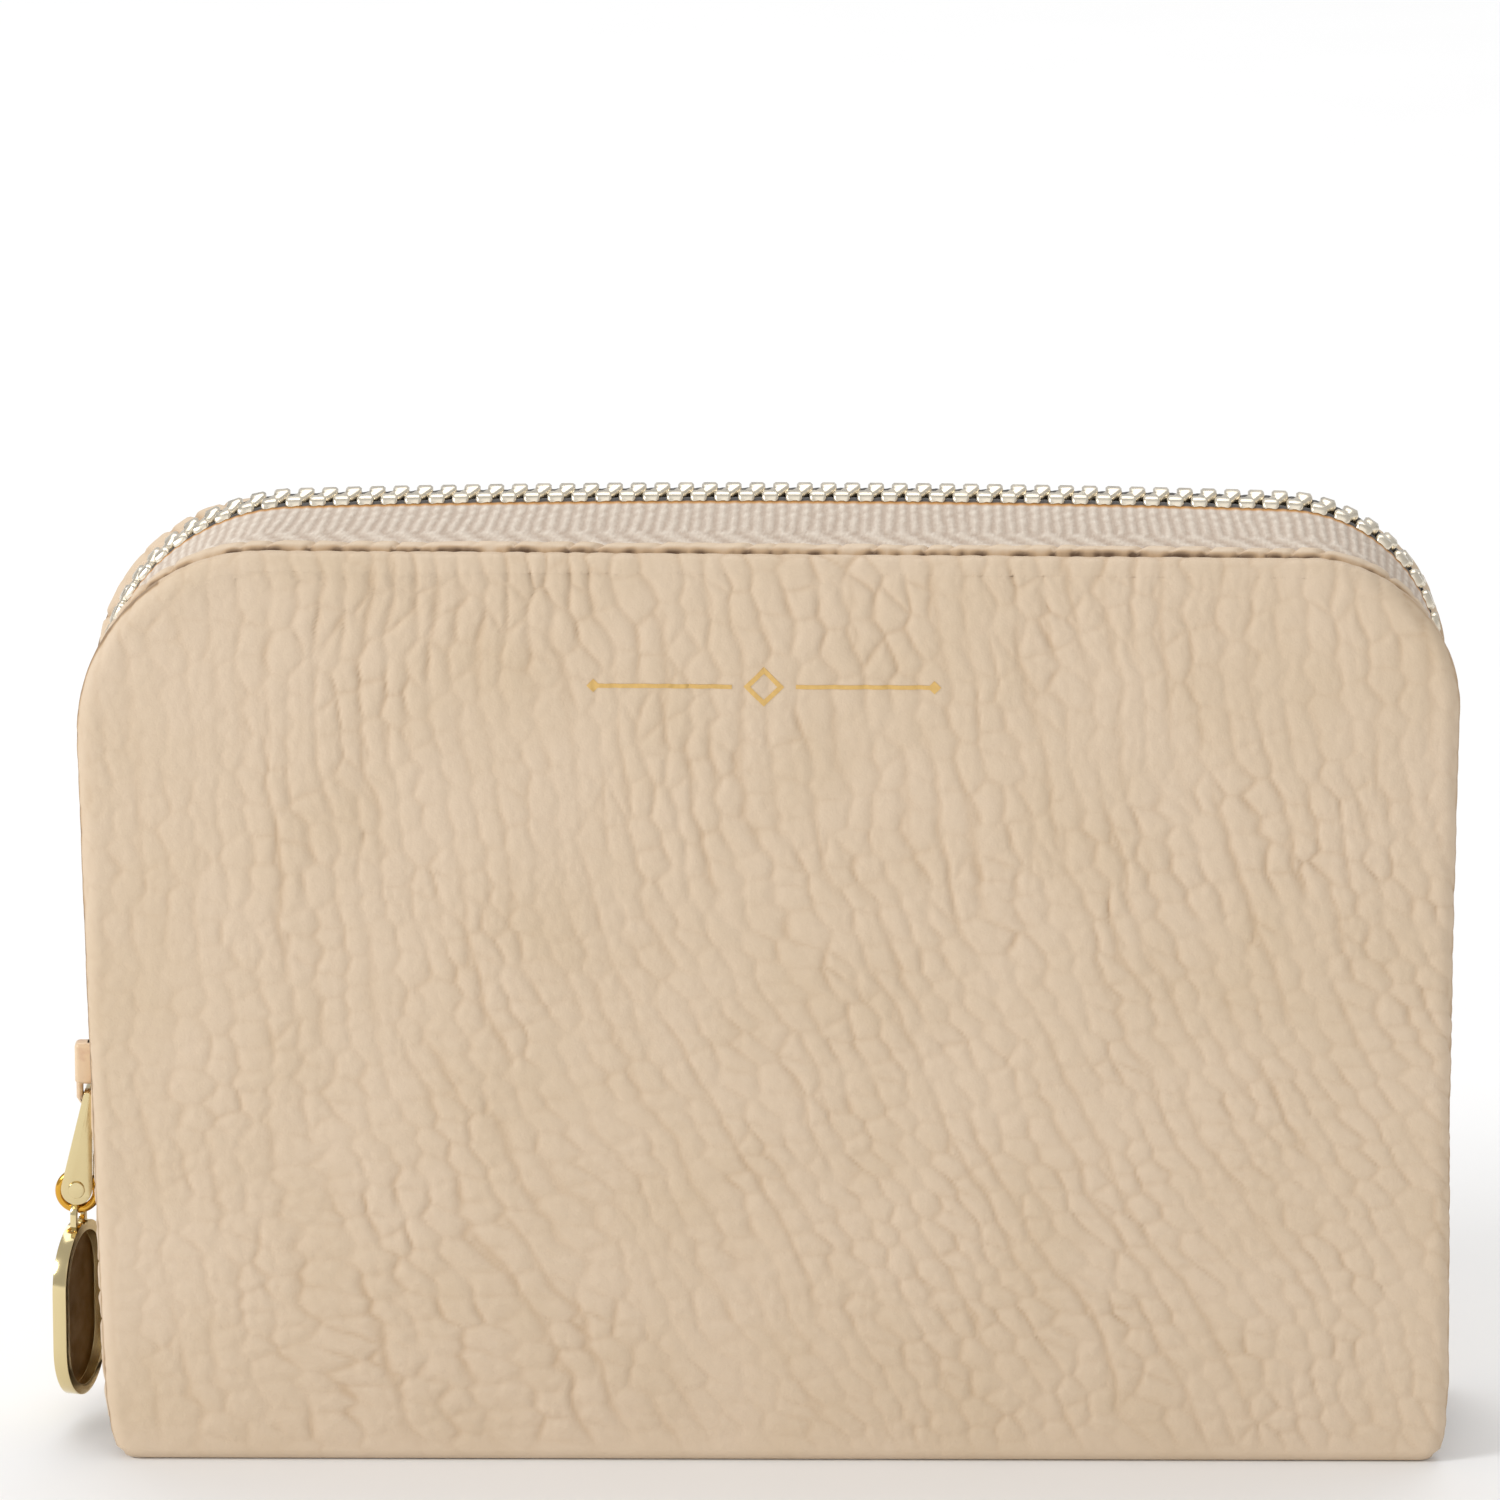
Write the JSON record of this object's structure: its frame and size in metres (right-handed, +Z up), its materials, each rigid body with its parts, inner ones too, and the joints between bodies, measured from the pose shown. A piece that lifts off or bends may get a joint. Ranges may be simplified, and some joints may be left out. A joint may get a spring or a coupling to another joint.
{
  "type": "zip-around wallet",
  "caption": "Compact soft leather wallet on its spine, closed by a metal zip round three sides, with card slots, coin pocket, puller and oval charm.",
  "frame": {"origin": "centre of the spine's flat base, which stands on the table", "axes": "+X to the right seen from the front, +Y out of the back cover, +Z up from the spine to the zip; the front cover faces -Y and the slider is on the -X side"},
  "size_m": [0.1337, 0.0261, 0.0926],
  "materials": {
    "cover_leather": "creased and pebbled grain, satin",
    "slot_leather": "smooth, satin",
    "lining": "fine twill",
    "zip_tape": "herringbone weave",
    "foam": "open foam sheet",
    "board": "pressed bonded-leather board",
    "zip_metal": "polished, pale gold plating",
    "slider_metal": "polished, pale gold plating",
    "gold_foil": "pressed foil"
  },
  "bodies": {
    "spine": {"spine_leather": "cover_leather", "spine_board": "board", "spine_lining": "lining", "coin_pocket_front_wall": "lining", "coin_pocket_back_wall": "lining", "coin_pocket_side_seams": "lining", "coin_pocket_base_seam": "lining", "coin_zip_front_tape": "zip_tape", "coin_zip_back_tape": "zip_tape", "coin_zip_teeth": "zip_metal", "coin_zip_stops": "zip_metal", "front_left_gusset": "lining", "front_right_gusset": "lining", "back_left_gusset": "lining", "back_right_gusset": "lining"},
    "front_cover": {"front_cover_leather": "cover_leather", "front_foam": "foam", "front_board": "board", "front_lining": "lining", "front_facing_strip": "cover_leather", "front_zip_tape": "zip_tape", "front_zip_teeth": "zip_metal", "front_top_stop": "zip_metal", "front_card_slot_1": "slot_leather", "front_card_slot_2": "slot_leather", "front_card_slot_3": "slot_leather", "front_slot_seams": "slot_leather", "foil_mark": "gold_foil"},
    "back_cover": {"back_cover_leather": "cover_leather", "back_foam": "foam", "back_board": "board", "back_lining": "lining", "back_facing_strip": "cover_leather", "back_zip_tape": "zip_tape", "back_zip_teeth": "zip_metal", "back_top_stop": "zip_metal", "back_card_slot_1": "slot_leather", "back_card_slot_2": "slot_leather", "back_card_slot_3": "slot_leather", "back_slot_seams": "slot_leather", "bottom_stop": "zip_metal"},
    "coin_slider": {"coin_slider_body": "zip_metal", "coin_slider_bridge": "zip_metal"},
    "coin_zip_puller": {"coin_puller": "zip_metal"},
    "slider": {"slider_outer_plate": "slider_metal", "slider_inner_plate": "slider_metal", "slider_post": "slider_metal", "slider_bridge": "slider_metal"},
    "zip_puller": {"puller": "slider_metal", "puller_rivet": "slider_metal"},
    "ring": {"jump_ring": "slider_metal"},
    "hanging_charm": {"charm": "slider_metal"}
  },
  "joints": [
    {"name": "front_fold", "type": "hinge", "parent": "spine", "child": "front_cover", "pos_m": [0, -0.0118, 0.0012], "axis": [1, 0, 0], "range_deg": [0, 40], "deforming": ["front_left_gusset", "front_right_gusset"]},
    {"name": "back_fold", "type": "hinge", "parent": "spine", "child": "back_cover", "pos_m": [0, 0.0118, 0.0012], "axis": [-1, 0, 0], "range_deg": [0, 40], "deforming": ["back_left_gusset", "back_right_gusset"]},
    {"name": "slider_travel", "type": "slide", "parent": "back_cover", "child": "slider", "axis": [0, 0, 1], "range_m": [0, 0.032], "deforming": ["front_zip_teeth", "back_zip_teeth"]},
    {"name": "puller_swing", "type": "hinge", "parent": "slider", "child": "zip_puller", "pos_m": [-0.06527, 0, 0.0331], "axis": [0, 1, 0], "range_deg": [0, 110]},
    {"name": "ring_swing", "type": "hinge", "parent": "zip_puller", "child": "ring", "pos_m": [-0.06645, 0, 0.0238], "axis": [0, 1, 0], "range_deg": [0, 70]},
    {"name": "charm_swing", "type": "hinge", "parent": "ring", "child": "hanging_charm", "pos_m": [-0.06645, 0, 0.02126], "axis": [-0.9781, 0.2079, 0], "range_deg": [0, 30]},
    {"name": "coin_slider_travel", "type": "slide", "parent": "spine", "child": "coin_slider", "axis": [-1, 0, 0], "range_m": [0, 0.083], "deforming": ["coin_zip_teeth"]},
    {"name": "coin_puller_swing", "type": "hinge", "parent": "coin_slider", "child": "coin_zip_puller", "pos_m": [0.045, 0, 0.06802], "axis": [0, 1, 0], "range_deg": [0, 170]}
  ]
}
